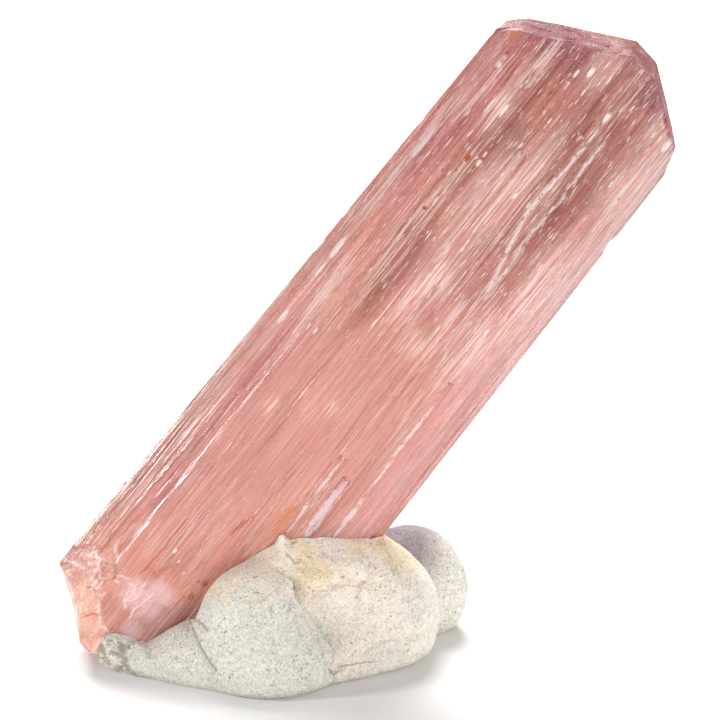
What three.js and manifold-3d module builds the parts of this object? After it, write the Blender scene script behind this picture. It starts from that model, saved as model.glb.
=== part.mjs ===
// A blade of pink spodumene standing at a slant in a kneaded mound of putty.
// Millimetres, +Z up, the blade leans toward +X, its broad front face looks along -Y.
// The origin is the centre of the floor under both pieces.
import * as THREE from "three";
import { mergeVertices } from "three/addons/utils/BufferGeometryUtils.js";
import Module from "manifold-3d";

// How the blade stands
const LEAN_DEG = 52; // its length above the floor, toward +X
const BACK_DEG = 6; // its front face leans back by this much
const FOOT_POINT = [-35.7, -5.4, -3.8]; // zero of the blade's own axes u, w, v

// The blade's cross-section in u (across) and v (thickness), halfway along it
const SECTION = [
  [-17.0, 0.4],
  [-13.7, 4.6],
  [-11.2, 5.6],
  [8.4, 5.9],
  [12.3, 5.1],
  [15.2, 2.9],
  [17.0, -0.4],
  [14.3, -4.4],
  [11.4, -5.5],
  [-9.8, -5.9],
  [-13.5, -5.5],
  [-16.2, -3.9],
];
const TAPER = 0.001; // the section shrinks by this share per mm of length
const MIDDLE = 58; // the length w at which the section has its stated size
const LOW_END = -14; // the untrimmed prism's two ends
const HIGH_END = 130;

// Lengthwise ridges all round the section
const RIDGE_PITCH = 1.0;
const RIDGE_DEPTH = 0.26;
const RIDGE_SEED = 7;

// Flat faces that trim the two ends: outward direction and a point, in u, w, v
const END_FACES = [
  { face: "roof_left", out: [-0.43, 0.88, 0.1], at: [-6.1, 116.85, -4.5] },
  { face: "roof_right", out: [0.6, 0.79, 0.1], at: [10.4, 116.35, -4.5] },
  { face: "roof_crown", out: [0.16, 0.98, 0.16], at: [3, 120.3, -4.5] },
  { face: "left_corner", out: [-0.72, 0.68, 0.1], at: [-14.9, 112.05, -4.5] },
  { face: "right_corner", out: [0.95, 0.3, 0.05], at: [15.7, 110.2, -4.5] },
  { face: "foot_under", out: [0.615, -0.788, 0], at: [-5.3, 3.4, 2] },
  { face: "foot_tip", out: [0.05, -1, 0], at: [-8.1, 2.2, 2] },
  { face: "foot_left", out: [-0.61, -0.79, 0.05], at: [-9.8, 2.6, 3] },
];

// The broken corner at the foot: each break is the wedge outside both of its faces
const BREAKS = [
  [
    { out: [-0.15, -0.6, 0.78], at: [-13, 14.6, 5.4] },
    { out: [-0.66, -0.25, 0.7], at: [-9.7, 11, 5.8] },
  ],
  [
    { out: [-0.5, -0.62, 0.6], at: [-14.6, 9, 2.2] },
    { out: [-0.62, 0.2, 0.76], at: [-12.2, 8, 3.6] },
  ],
];

// Shell-shaped hollows and edge nicks: centre and radii in u, w, v
const SCOOPS = [
  { centre: [-12.6, 10.6, 6.6], radii: [2.6, 3.4, 2.6] },
  { centre: [-9.4, 6.4, 7.2], radii: [2.4, 3.2, 2.4] },
  { centre: [-16.6, 9.4, 1.6], radii: [2.2, 3.6, 2.2] },
  { centre: [-17.2, 93.3, 0.6], radii: [1.1, 1.3, 1.5] },
  { centre: [-17.5, 75.8, 0.6], radii: [1.1, 1.1, 1.5] },
  { centre: [-17.6, 69.7, 0.6], radii: [1.2, 1.5, 1.6] },
  { centre: [16.7, 95.5, 0.4], radii: [0.9, 2.4, 1.2] },
  { centre: [10.5, 30.5, -7.6], radii: [4.4, 3.2, 2.6] },
];

// Growth ledges: strips from u0 to u1 and w0 to w1 that sink to a depth at their
// upper end. side is +1 on the front face and -1 on the back face.
const LEDGES = [
  { u: [3.9, 5.3], w: [35, 48], depth: 0.45, side: 1 },
  { u: [6.5, 7.7], w: [34, 46], depth: 0.4, side: 1 },
  { u: [9.6, 10.6], w: [49, 66], depth: 0.35, side: 1 },
  { u: [-3.6, -1.9], w: [60, 99], depth: 0.4, side: 1 },
  { u: [1.3, 2.7], w: [71, 106], depth: 0.35, side: 1 },
  { u: [5.9, 6.9], w: [58, 97], depth: 0.35, side: 1 },
  { u: [-7.2, -5.8], w: [38, 72], depth: 0.3, side: 1 },
  { u: [-6.4, -3.2], w: [52, 100], depth: 0.6, side: -1 },
  { u: [1.6, 3.1], w: [30, 84], depth: 0.5, side: -1 },
  { u: [6.3, 7.4], w: [66, 110], depth: 0.45, side: -1 },
];

// The mound: soft lobes pressed together. Centre, radii and turn about Z in degrees.
const LOBES = [
  { lobe: "left_crumb", centre: [-34.6, -2.6, 0], radii: [4.2, 7.2, 2.9], turn: 8 },
  { lobe: "left_bridge", centre: [-29.6, -8.4, 0], radii: [7.6, 5.2, 4.2], turn: -38 },
  { lobe: "left_toe", centre: [-18.9, -11.9, 0.3], radii: [12.9, 6.6, 8.6], turn: -5 },
  { lobe: "front_left", centre: [-16, -13.1, 7], radii: [7.6, 7.5, 9.9], turn: -13 },
  { lobe: "front_low", centre: [-13, -14.2, 3.1], radii: [9.3, 8, 8.2], turn: 5 },
  { lobe: "front_middle", centre: [-6.2, -4.8, 5], radii: [16.4, 12.6, 16.1], turn: 19 },
  { lobe: "right_fold", centre: [1.7, -4, 6.3], radii: [11, 9.9, 9.9], turn: 6 },
  { lobe: "back_right", centre: [7.5, 7.6, 5.9], radii: [8.5, 6.8, 9.6], turn: -20 },
  { lobe: "back_knob", centre: [0.1, 4.2, 7.2], radii: [7.3, 8.4, 10.7], turn: 0 },
  { lobe: "back_middle", centre: [-8, 6.4, 3], radii: [14.6, 11.4, 11.6], turn: 8 },
  { lobe: "back_left", centre: [-22, 4.4, 0.5], radii: [13.4, 9.2, 6.6], turn: 14 },
  { lobe: "base", centre: [-14, -2.5, 0], radii: [21, 13.5, 7], turn: 4 },
];

// Thumb marks pressed into the mound: centre and radii
const THUMB_MARKS = [
  { centre: [-11.5, 23.6, 10.8], radii: [8.6, 7.4, 7.8] },
  { centre: [-26.5, 17.4, 7.6], radii: [7.2, 6.6, 6.4] },
];

const GAP = 0.3; // between the blade and its socket in the mound
const LOBE_SEGMENTS = 26; // round each lobe; half as many and one from pole to pole

const kernel = await Module();
kernel.setup();

// A repeatable source of numbers from 0 to 1
function numbers(seed) {
  let state = seed;
  return () => {
    state = (state * 1664525 + 1013904223) % 4294967296;
    return state / 4294967296;
  };
}

function solid(geometry) {
  const bare = geometry.clone();
  bare.deleteAttribute("normal");
  bare.deleteAttribute("uv");
  const joined = mergeVertices(bare, 1e-4);
  return new kernel.Manifold(
    new kernel.Mesh({
      numProp: 3,
      vertProperties: Float32Array.from(joined.attributes.position.array),
      triVerts: Uint32Array.from(joined.index.array),
    }),
  );
}

function geometryOf(made) {
  const mesh = made.getMesh();
  const points = new Float32Array(mesh.numVert * 3);
  for (let i = 0; i < mesh.numVert; i++)
    for (let k = 0; k < 3; k++)
      points[3 * i + k] = mesh.vertProperties[mesh.numProp * i + k];
  const geometry = new THREE.BufferGeometry();
  geometry.setAttribute("position", new THREE.BufferAttribute(points, 3));
  geometry.setIndex(new THREE.BufferAttribute(Uint32Array.from(mesh.triVerts), 1));
  return geometry;
}

// All that lies beyond a flat face, moved outward by grow
function beyond({ out, at }, grow = 0) {
  const direction = new THREE.Vector3(...out).normalize();
  const size = 300;
  const box = new THREE.BoxGeometry(size, size, size);
  box.applyQuaternion(
    new THREE.Quaternion().setFromUnitVectors(new THREE.Vector3(0, 0, 1), direction),
  );
  const centre = new THREE.Vector3(...at).addScaledVector(direction, size / 2 + grow);
  box.translate(centre.x, centre.y, centre.z);
  return solid(box);
}

function ellipsoid({ centre, radii, turn = 0 }, segments) {
  const ball = new THREE.SphereGeometry(1, segments, Math.round(segments / 2) + 1);
  ball.rotateX(Math.PI / 2);
  ball.scale(...radii);
  ball.rotateZ(THREE.MathUtils.degToRad(turn));
  ball.translate(...centre);
  return solid(ball);
}

// The section's outline, each edge moved out by grow
function grownSection(grow) {
  const lines = SECTION.map(([u, v], i) => {
    const [u2, v2] = SECTION[(i + 1) % SECTION.length];
    const length = Math.hypot(u2 - u, v2 - v);
    const normal = [-(v2 - v) / length, (u2 - u) / length];
    return { normal, reach: normal[0] * u + normal[1] * v + grow };
  });
  return lines.map((b, i) => {
    const a = lines[(i + lines.length - 1) % lines.length];
    const cross = a.normal[0] * b.normal[1] - a.normal[1] * b.normal[0];
    return [
      (a.reach * b.normal[1] - b.reach * a.normal[1]) / cross,
      (b.reach * a.normal[0] - a.reach * b.normal[0]) / cross,
    ];
  });
}

// The same outline with a groove of its own depth at every step along it
function ridgedSection() {
  const next = numbers(RIDGE_SEED);
  const points = [];
  SECTION.forEach(([u, v], i) => {
    const [u2, v2] = SECTION[(i + 1) % SECTION.length];
    const length = Math.hypot(u2 - u, v2 - v);
    const inward = [(v2 - v) / length, -(u2 - u) / length];
    const steps = Math.max(2, Math.round(length / RIDGE_PITCH));
    points.push([u, v]);
    for (let k = 1; k < steps; k++) {
      const along = (k + 0.5 * (next() - 0.5)) / steps;
      const depth = RIDGE_DEPTH * (k % 2 ? 0.25 + 0.75 * next() : 0.35 * next());
      points.push([
        u + (u2 - u) * along + inward[0] * depth,
        v + (v2 - v) * along + inward[1] * depth,
      ]);
    }
  });
  return points;
}

// A prism with this outline, running along w and shrinking as it rises
function prism(outline) {
  const count = outline.length;
  const points = [];
  for (const w of [LOW_END, HIGH_END]) {
    const size = 1 + TAPER * (MIDDLE - w);
    outline.forEach(([u, v]) => points.push(u * size, w, v * size));
    points.push(0, w, 0);
  }
  const faces = [];
  const high = count + 1;
  for (let i = 0; i < count; i++) {
    const j = (i + 1) % count;
    faces.push(i, j, high + j, i, high + j, high + i);
    faces.push(j, i, count, high + i, high + j, high + count);
  }
  const geometry = new THREE.BufferGeometry();
  geometry.setAttribute("position", new THREE.Float32BufferAttribute(points, 3));
  geometry.setIndex(faces);
  return solid(geometry);
}

// A strip that is level with the face at its low end and at full depth at its high end
function ledge({ u, w, depth, side }) {
  const width = u[1] - u[0];
  const length = w[1] - w[0];
  const middle = (w[0] + w[1]) / 2;
  const thick = 3;
  const strip = new THREE.BoxGeometry(width, length, thick);
  strip.translate(0, 0, thick / 2);
  if (side < 0) strip.rotateY(Math.PI);
  strip.rotateX(-side * Math.atan2(depth, length));
  const size = 1 + TAPER * (MIDDLE - middle);
  const face = side > 0 ? 5.75 * size : -5.8 * size;
  strip.translate((u[0] + u[1]) / 2, middle, face - (side * depth) / 2);
  return solid(strip);
}

function blade() {
  let made = prism(ridgedSection());
  END_FACES.forEach((face) => {
    made = made.subtract(beyond(face));
  });
  BREAKS.forEach(([one, other]) => {
    made = made.subtract(beyond(one).intersect(beyond(other)));
  });
  LEDGES.forEach((strip) => {
    made = made.subtract(ledge(strip));
  });
  SCOOPS.forEach((hollow) => {
    made = made.subtract(ellipsoid(hollow, 14));
  });
  return made;
}

function socket() {
  let made = prism(grownSection(GAP));
  END_FACES.forEach((face) => {
    made = made.subtract(beyond(face, GAP));
  });
  return made;
}

function mound(hole) {
  let made = ellipsoid(LOBES[0], LOBE_SEGMENTS);
  LOBES.slice(1).forEach((lobe) => {
    made = made.add(ellipsoid(lobe, LOBE_SEGMENTS));
  });
  THUMB_MARKS.forEach((mark) => {
    made = made.subtract(ellipsoid(mark, 18));
  });
  made = made.subtract(beyond({ out: [0, 0, -1], at: [0, 0, 0] })).subtract(hole);
  return made.decompose().sort((a, b) => b.volume() - a.volume())[0];
}

// The blade's own axes in the part's frame
const lean = THREE.MathUtils.degToRad(LEAN_DEG);
const across = new THREE.Vector3(1, 0, 0);
const upright = new THREE.Vector3(0, 0, 1).applyAxisAngle(
  across,
  -THREE.MathUtils.degToRad(BACK_DEG),
);
const axisW = across
  .clone()
  .multiplyScalar(Math.cos(lean))
  .addScaledVector(upright, Math.sin(lean));
const axisU = across
  .clone()
  .multiplyScalar(Math.sin(lean))
  .addScaledVector(upright, -Math.cos(lean));
const axisV = new THREE.Vector3().crossVectors(axisU, axisW);
const stand = new THREE.Matrix4()
  .makeBasis(axisU, axisW, axisV)
  .setPosition(...FOOT_POINT);

const bladeShape = geometryOf(blade()).applyMatrix4(stand);
const moundShape = geometryOf(mound(solid(geometryOf(socket()).applyMatrix4(stand))));

// The floor's middle under both pieces becomes the origin
const extent = new THREE.Box3()
  .setFromBufferAttribute(bladeShape.attributes.position)
  .union(new THREE.Box3().setFromBufferAttribute(moundShape.attributes.position));
const centre = extent.getCenter(new THREE.Vector3());
bladeShape.translate(-centre.x, -centre.y, -extent.min.z);
moundShape.translate(-centre.x, -centre.y, -extent.min.z);

const crystal = new THREE.Mesh(
  bladeShape,
  new THREE.MeshStandardMaterial({
    color: 0xd6968c,
    roughness: 0.25,
    transparent: true,
    opacity: 0.75,
  }),
);
crystal.name = "crystal";

const putty = new THREE.Mesh(
  moundShape,
  new THREE.MeshStandardMaterial({ color: 0xddd6c8, roughness: 0.9 }),
);
putty.name = "putty_mound";

const part = new THREE.Group();
part.add(crystal, putty);
export default part;
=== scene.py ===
"""A striated blade of pink spodumene that stands in a kneaded mound of putty.

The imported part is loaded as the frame. The blade and the mound are made again here
as fine surfaces of the same sizes, each on a grid of two parameters, and stand in
for the plain solids. Sizes are in millimetres in the settings and in the tables, and
are turned to metres when a mesh is made.
"""
import functools
import math

import bpy
import numpy as np
from mathutils import Matrix, Vector


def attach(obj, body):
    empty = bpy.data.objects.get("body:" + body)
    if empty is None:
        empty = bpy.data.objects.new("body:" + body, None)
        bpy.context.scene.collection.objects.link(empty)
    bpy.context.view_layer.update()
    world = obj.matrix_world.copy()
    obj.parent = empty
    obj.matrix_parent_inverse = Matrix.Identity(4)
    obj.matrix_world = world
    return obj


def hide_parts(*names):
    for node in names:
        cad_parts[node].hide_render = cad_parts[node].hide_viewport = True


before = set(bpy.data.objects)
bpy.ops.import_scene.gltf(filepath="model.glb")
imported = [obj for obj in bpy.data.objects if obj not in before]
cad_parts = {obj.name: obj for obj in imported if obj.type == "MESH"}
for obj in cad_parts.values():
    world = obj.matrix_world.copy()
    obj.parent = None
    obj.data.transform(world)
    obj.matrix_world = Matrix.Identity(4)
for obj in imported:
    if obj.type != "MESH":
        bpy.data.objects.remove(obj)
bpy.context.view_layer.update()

bl_info = {
    "name": "Spodumene blade in putty",
    "version": (1, 0, 0),
    "blender": (4, 5, 0),
    "location": "3D View > Sidebar > Spodumene",
    "description": "Adds a striated spodumene blade, its putty mound and a pale stage",
    "category": "Add Mesh",
}

MM = 0.001
FLOOR_MIDDLE = np.array([0.48, -2.18, 0.0])  # the floor's middle in the layout's millimetres
NOISE_SIDE = 256
SPODUMENE_IOR = 1.66
PUTTY_IOR = 1.5
# Edges that bend more than this stay sharp
BLADE_SHARP = math.radians(24)
PUTTY_SHARP = math.radians(50)
# The stage, in metres: the paper's side, where the lights point and what the camera looks at
PAPER_SIZE = 8.0
LIT_POINT = Vector((0, 0, 0.04))
CAMERA_AIM = Vector((0, 0, 0.0442)) - Vector(FLOOR_MIDDLE * MM)

# How the blade stands
LEAN = math.radians(52)
BACK = math.radians(6)
FOOT_POINT = np.array([-35.7, -5.4, -3.8])

# The blade's cross-section: u across, v through it, halfway along it
SECTION = np.array([
    (-17.0, 0.4), (-13.7, 4.6), (-11.2, 5.6), (8.4, 5.9), (12.3, 5.1), (15.2, 2.9),
    (17.0, -0.4), (14.3, -4.4), (11.4, -5.5), (-9.8, -5.9), (-13.5, -5.5), (-16.2, -3.9),
])
TAPER = 0.001
MIDDLE = 58.0

# Flat faces that end the blade: outward direction and a point, in u, w, v
ROOF = (
    ((-0.43, 0.88, 0.1), (-6.1, 116.85, -4.5)),
    ((0.6, 0.79, 0.1), (10.4, 116.35, -4.5)),
    ((0.16, 0.98, 0.16), (3, 120.3, -4.5)),
    ((-0.72, 0.68, 0.1), (-14.9, 112.05, -4.5)),
    ((0.95, 0.3, 0.05), (15.7, 110.2, -4.5)),
)
FOOT = (
    ((0.615, -0.788, 0), (-5.3, 3.4, 2)),
    ((0.05, -1, 0), (-8.1, 2.2, 2)),
    ((-0.61, -0.79, 0.05), (-9.8, 2.6, 3)),
)

# The broken corner: wedges that lie outside both faces of a pair, and shell-shaped hollows
BREAKS = (
    (((-0.15, -0.6, 0.78), (-13, 14.6, 5.4)), ((-0.66, -0.25, 0.7), (-9.7, 11, 5.8))),
    (((-0.3, -0.5, 0.8), (-14.6, 9, 3.4)), ((-0.62, 0.2, 0.76), (-12.2, 8, 3.6))),
)
HOLLOWS = (
    ((-17.2, 93.3, 0.6), (1.1, 1.3, 1.5)),
    ((-17.5, 75.8, 0.6), (1.1, 1.1, 1.5)),
    ((-17.6, 69.7, 0.6), (1.2, 1.5, 1.6)),
    ((16.7, 95.5, 0.4), (0.9, 2.4, 1.2)),
    ((10.5, 30.5, -7.6), (4.4, 3.2, 2.6)),
)
FOOT_ROUND = 0.7
FOOT_CENTRE = np.array([-8.5, 2.3, 0.0])
HALF_SIZES = np.array([17.0, 5.9])
CAP_RINGS = 15
# The broken zone's upper edge on the front: u and w
CHIP_EDGE = np.array([
    (-17.3, 12.4), (-16.4, 14.0), (-15.4, 15.0), (-14.2, 15.4), (-13.5, 18.4), (-12.8, 17.0),
    (-12.0, 15.9), (-11.3, 14.3), (-10.7, 13.5), (-10.2, 11.0), (-10.0, 9.2), (-8.6, 7.8),
    (-7.2, 7.0), (-6.0, 6.4), (-4.5, 3.0),
])
# Where single chips left the broken zone: u, w, how deep, and the way each slopes
CHIPS = np.array([
    (-15.8, 12.6, 0.05, 0.12, -0.05), (-15.2, 9.6, 0.12, -0.06, 0.10), (-12.6, 13.2, 0.42, 0.12, 0.10),
    (-13.4, 16.4, 0.10, 0.10, 0.02), (-13.7, 11.4, 0.22, 0.15, 0.10), (-11.3, 11.2, 0.16, -0.10, 0.06),
    (-14.2, 6.9, 0.30, -0.10, -0.20), (-11.9, 8.0, 0.34, -0.10, 0.12), (-12.3, 5.2, 0.36, -0.20, 0.02),
    (-8.6, 5.2, 0.02, 0.04, 0.10), (-9.8, 9.8, 0.10, 0.06, 0.06),
])

# Lines on the front: white ones along chips, smears and veins, then iron stains. A path and a half width
WHITE_LINES = (
    (((-15.4, 13.2), (-14.7, 14.4), (-14.0, 14.3), (-13.8, 13.3), (-13.7, 12.3), (-14.0, 11.3), (-13.3, 10.7),
      (-12.6, 10.9), (-12.6, 10.3), (-13.0, 9.6)), 0.24),
    (((-16.6, 11.1), (-15.7, 11.0), (-15.2, 10.9), (-14.9, 12.7)), 0.16),
    (((-13.4, 18.4), (-13.4, 17.2), (-12.6, 16.6), (-11.9, 15.9), (-11.7, 15.0), (-11.3, 14.3), (-10.7, 13.5),
      (-9.7, 13.6)), 0.2),
    (((-10.4, 14.4), (-9.7, 14.7), (-8.6, 14.9)), 0.12),
    (((-16.0, 7.5), (-14.5, 7.4), (-13.8, 5.8), (-13.0, 5.4), (-12.4, 6.0), (-11.0, 4.2)), 0.16),
    (((-11.4, 9.8), (-10.3, 8.9), (-9.0, 7.7), (-8.3, 7.0), (-7.1, 6.6), (-6.4, 6.5)), 0.16),
    (((-8.2, 14.3), (-7.3, 14.3), (-7.2, 13.1), (-7.3, 11.8), (-6.7, 10.7)), 0.16),
    (((-5.3, 10.2), (-5.4, 11.7), (-5.1, 13.0), (-5.0, 14.2), (-4.6, 15.2)), 0.14),
    (((-6.9, 12.2), (-6.2, 13.4), (-6.4, 14.6)), 0.10), (((-6.7, 15.1), (-6.4, 15.9)), 0.16),
    (((6.2, 79.4), (4.0, 87.8), (3.1, 92.7), (3.4, 99.1), (3.7, 104.8)), 0.26),
    (((6.1, 82.4), (5.5, 91.2), (5.9, 96.6), (5.4, 103.3), (5.6, 107.0)), 0.2),
    (((2.2, 105.6), (2.7, 105.1), (3.5, 105.0)), 0.12),
    (((-13.7, 106.9), (-13.4, 107.3), (-13.0, 107.9)), 0.12),
)
STAIN_LINES = (
    (((-10.8, 5.8), (-10.0, 6.8), (-9.3, 7.5)), 0.16), (((-7.2, 18.0), (-6.8, 17.2)), 0.18),
    (((-6.8, 18.0), (-6.2, 17.5), (-5.7, 17.6), (-5.9, 18.8)), 0.18),
    (((-7.6, 27.0), (-7.7, 23.3), (-7.7, 20.0), (-7.9, 16.8)), 0.12),
    (((-1.2, 29.4), (-1.0, 31.6), (-0.1, 33.4)), 0.15), (((-0.9, 32.0), (-0.9, 30.2)), 0.22),
    (((2.8, 56.0), (2.9, 51.7), (3.0, 48.3)), 0.10), (((-4.5, 21.0), (-5.6, 19.3)), 0.14),
)

# Growth ledges: u from and to, w from and to, depth at the upper end, and side
LEDGES = (
    (3.9, 5.3, 35, 48, 0.45, 1), (6.5, 7.7, 34, 46, 0.4, 1), (9.6, 10.6, 49, 66, 0.35, 1),
    (-3.6, -1.9, 60, 99, 0.4, 1), (1.3, 2.7, 71, 106, 0.35, 1), (5.9, 6.9, 58, 97, 0.35, 1),
    (-7.2, -5.8, 38, 72, 0.3, 1), (-6.4, -3.2, 52, 100, 0.6, -1), (1.6, 3.1, 30, 84, 0.5, -1),
    (6.3, 7.4, 66, 110, 0.45, -1),
)

# Patches of colour on the front face: u, w, half width, half length
RUST = (
    (0.2, 21.2, 0.48, 0.62), (-0.6, 20.7, 0.22, 0.26), (-0.1, 18.4, 0.36, 0.7), (-0.8, 17.6, 0.2, 0.26),
    (-8.3, 93.5, 0.36, 0.6), (-10.1, 89.9, 0.14, 0.3), (-8.5, 91.1, 0.18, 0.26), (-9.4, 89.4, 0.14, 0.25),
    (-8.2, 86.9, 0.16, 0.3), (-8.7, 84.1, 0.24, 0.3), (-6.5, 84.2, 0.11, 0.2), (-8.3, 82.3, 0.12, 0.2),
    (-5.5, 81.5, 0.12, 0.22), (-7.0, 108.5, 0.16, 0.3), (-8.2, 106.0, 0.16, 0.18), (12.4, 102.0, 0.12, 0.25),
    (-12.7, 39.9, 0.10, 0.25), (-13.1, 108.6, 0.16, 0.3), (-4.8, 107.9, 0.14, 0.4),
)
AMBER = ((3.4, 35.6, 1.3, 2.6), (4.4, 33.6, 0.9, 1.4), (-6.9, 18.0, 1.0, 0.9), (-13.7, 111.2, 0.5, 1.6))
FROST = (
    (4.7, 44.6, 0.22, 3.4), (4.9, 37.2, 0.2, 2.4), (7.1, 41.0, 0.6, 4.4), (7.4, 38.0, 0.5, 2.6),
    (10.7, 41.8, 0.36, 3.4), (10.5, 49.4, 0.16, 2.4), (10.2, 56.6, 0.24, 4.8), (13.1, 112.1, 0.45, 1.0),
)
# Painted glints: single bright white dashes
PAINTED_GLINTS = (
    (-3.7, 112.4, 0.18, 0.7), (-2.2, 113.7, 0.34, 0.8), (-1.2, 111.0, 0.10, 0.6), (3.6, 110.1, 0.36, 1.0),
    (3.7, 106.7, 0.14, 1.3), (5.6, 113.4, 0.12, 0.6), (-8.5, 102.1, 0.2, 1.2), (-10.6, 101.6, 0.12, 1.5),
    (-13.0, 106.5, 0.34, 0.5), (-2.5, 104.7, 0.12, 0.5), (-14.5, 91.0, 0.36, 3.4), (-14.95, 84.7, 0.2, 3.0),
    (-15.0, 79.8, 0.10, 2.4), (-14.7, 71.6, 0.32, 1.9), (-14.75, 67.3, 0.16, 1.6), (-14.7, 58.8, 0.24, 1.2),
    (-11.2, 60.3, 0.13, 0.6), (-10.0, 60.4, 0.18, 0.5), (-4.1, 66.4, 0.13, 0.8), (-4.0, 69.5, 0.07, 5.0),
    (-6.7, 93.9, 0.26, 0.6), (-6.7, 95.4, 0.14, 0.5), (-3.5, 99.5, 0.12, 0.5), (2.7, 93.5, 0.2, 0.5),
    (0.4, 93.4, 0.18, 0.5), (3.6, 71.4, 0.12, 0.7), (9.4, 75.3, 0.18, 0.4), (-4.7, 21.3, 0.14, 0.3),
    (-6.1, 22.3, 0.2, 0.4), (-3.1, 20.4, 0.12, 0.25),
)
# Knots of bright lines, partly cleavage cracks and partly painted highlights on the striations and along the
# left and right edges: u, w, half width, half length
BRIGHT = (
    (-2.6, 89.0, 2.4, 8.5), (0.2, 97.0, 1.6, 7.0), (11.2, 83.5, 1.9, 8.0), (-9.2, 101.5, 1.2, 3.2),
    (9.0, 72.0, 2.6, 6.0), (-1.8, 76.0, 1.4, 7.0), (-1.0, 115.0, 1.4, 3.0), (12.6, 104.0, 2.0, 6.0),
    (-14.8, 82.0, 0.7, 22.0), (-15.7, 36.0, 0.8, 20.0), (2.4, 67.2, 1.7, 1.9), (-12.4, 64.0, 0.8, 10.0),
    (-14.4, 101.0, 0.9, 9.0), (13.4, 86.0, 1.3, 12.0),
    (-3.2, 50.4, 1.2, 1.2), (-1.6, 52.6, 0.9, 1.2), (-8.2, 47.9, 0.9, 1.4),
)
# Growth zones: browner upwards, mauve by the upper left edge, dark rose at the tip and rose by the
# low corner. Paler to the right: a painted sheen along the right edge
BROWN = (
    (-6.4, 104.0, 4.2, 20.0), (0.5, 106.0, 4.0, 12.0), (6.6, 100.0, 4.4, 22.0), (-6.4, 76.0, 2.6, 10.0),
)
MAUVE = ((-13.6, 100.0, 2.8, 18.0), (-12.6, 53.0, 1.2, 9.0))
TIP = ((-7.6, 115.4, 6.0, 4.0), (7.4, 117.0, 4.5, 2.6))
ROSE = ((-0.6, 10.0, 2.4, 5.0), (-12.0, 30.0, 1.2, 8.0))
RIGHT_EDGE_SHEEN = ((14.5, 66.0, 4.4, 34.0),)
# By the broken corner: glints, milky haze, peach and orange stains, and a plum-coloured chip
GLITTER = ((-7.4, 13.6, 1.2, 1.5), (-5.2, 13.8, 1.2, 1.8), (-3.8, 15.6, 1.0, 1.0))
HAZE = (
    (-4.2, 16.0, 1.6, 1.7), (-2.9, 15.9, 1.3, 1.4), (-3.6, 12.9, 1.6, 1.6), (-3.7, 8.6, 1.3, 1.6),
    (-7.0, 13.4, 2.0, 2.0),
)
PEACH = ((-8.6, 5.0, 2.8, 2.0), (-12.2, 8.0, 2.0, 2.2))
ORANGE = ((-12.6, 7.8, 0.9, 1.3), (-10.6, 6.6, 1.0, 0.7))
PLUM = ((-12.7, 13.5, 0.8, 1.5), (-12.4, 11.8, 0.5, 0.9))

# The mound's folds: lobes that run softly into each other. Centre, radii, turn in degrees
FRONT_FOLD = (
    ((-35.2, -0.2, 0), (5.0, 4.6, 3.2), 8),
    ((-35.4, -10.6, 3.1), (3.0, 2.0, 2.7), -10),
    ((-32.4, -10.8, 1.2), (4.2, 2.8, 3.4), -20),
    ((-29.6, -7.4, 0), (7.6, 5.2, 4.9), -38),
    ((-18.9, -12.0, 0.3), (12.9, 7.0, 8.6), -5),
    ((-16, -13.1, 7), (7.6, 7.5, 9.9), -13),
    ((-13, -14.2, 3.1), (9.3, 8.4, 8.2), 5),
    ((-6.2, -4.8, 5), (16.4, 12.6, 16.1), 19),
    ((1.7, -4, 6.3), (10.2, 9.0, 9.9), 6),
)
KNUCKLE = (
    ((7.5, 7.6, 5.9), (8.5, 6.8, 9.6), -20),
    ((0.1, 4.2, 7.2), (7.3, 8.4, 10.7), 0),
)
REAR = (
    ((-8, 6.4, 3), (14.6, 11.4, 11.6), 8),
    ((-22, 4.4, 0.5), (13.4, 9.2, 6.6), 14),
    ((-14, -2.5, 0), (21, 13.5, 7), 4),
)
FOLDS = ((FRONT_FOLD, 3.2), (KNUCKLE, 2.0), (REAR, 4.0))  # each with the width its lobes blend over
# The lobes are measured from a short line on the floor, and draw in just above the floor
MOUND_MIDDLE = np.array([-13.0, -3.0, 0.0])
MOUND_SPREAD = np.array([11.0, 1.5, 0.0])
DRAW_IN = 1.0
DRAW_IN_HEIGHT = 1.6
FLOOR_RINGS = 9
VIEW_TILT = math.radians(18)  # folds on the front are placed as seen from this far above the level

# Edges where one fold lies over another: points across and up the front, step, and groove
THUMB_EDGE = (
    ((-13.2, 12.4), (-11.9, 11.7), (-10.6, 10.9), (-9.7, 10.1), (-9.6, 8.5), (-8.3, 6.7), (-6.5, 5.2),
     (-5.1, 3.5), (-4.2, 1.9), (-3.7, 0.4), (-3.8, -1.3), (-4.4, -2.5), (-3.4, -3.9)), 2.0, 0.3,
)
HOLLOW_EDGE = (
    ((-8.8, 7.4), (-7.9, 7.8), (-6.6, 9.0), (-5.6, 9.6), (-4.0, 10.2), (-2.1, 10.4), (0.6, 10.4)), -1.3, 0.12,
)
BAND_EDGE = (
    ((-2.9, -4.4), (-1.2, -3.0), (0.3, -1.6), (1.4, 0.2), (3.4, 1.5), (6.0, 1.6)), -0.3, 0.12,
)
FLAPS = (
    THUMB_EDGE, HOLLOW_EDGE,
    (((-24.6, 4.6), (-23.9, 3.4), (-23.1, 1.7), (-22.4, 0.3), (-21.4, -1.1), (-20.2, -2.4)), -0.5, 0.3),
    BAND_EDGE,
    (((3.2, 16.2), (4.0, 14.2), (5.2, 12.4), (6.0, 10.2), (6.3, 7.0)), 0.25, 0.10),
)
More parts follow.
